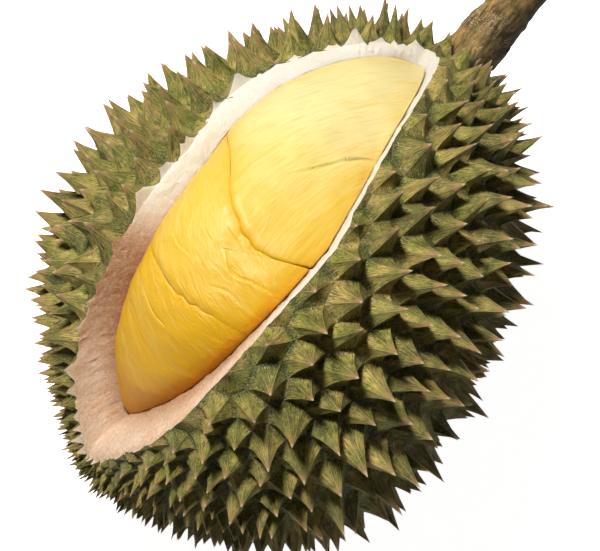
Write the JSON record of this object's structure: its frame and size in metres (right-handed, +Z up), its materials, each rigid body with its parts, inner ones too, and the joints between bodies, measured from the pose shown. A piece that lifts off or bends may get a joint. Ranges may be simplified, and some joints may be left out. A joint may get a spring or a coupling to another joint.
{
  "type": "durian",
  "caption": "Whole thorny durian fruit lying on its side with one husk segment cut away, showing the yellow flesh in its chamber, and a short woody stem.",
  "frame": {"origin": "middle of the overall box's bottom face, on the surface that the fruit rests on", "axes": "+X along the core from the blossom end to the stem, +Z up through the open window, +Y to the side the window leans to"},
  "size_m": [0.311, 0.2138, 0.2149],
  "materials": {
    "husk": "rough olive-green thorny skin over a cream fibrous wall",
    "stem": "rough brown bark",
    "pale_flesh": "satin, soft and creamy",
    "golden_flesh": "satin, soft and creamy",
    "deep_flesh": "satin, soft and creamy"
  },
  "bodies": {
    "root": {"husk": "husk", "stem": "stem", "stem_end_aril": "pale_flesh", "middle_aril": "golden_flesh", "blossom_end_aril": "deep_flesh"}
  },
  "joints": []
}
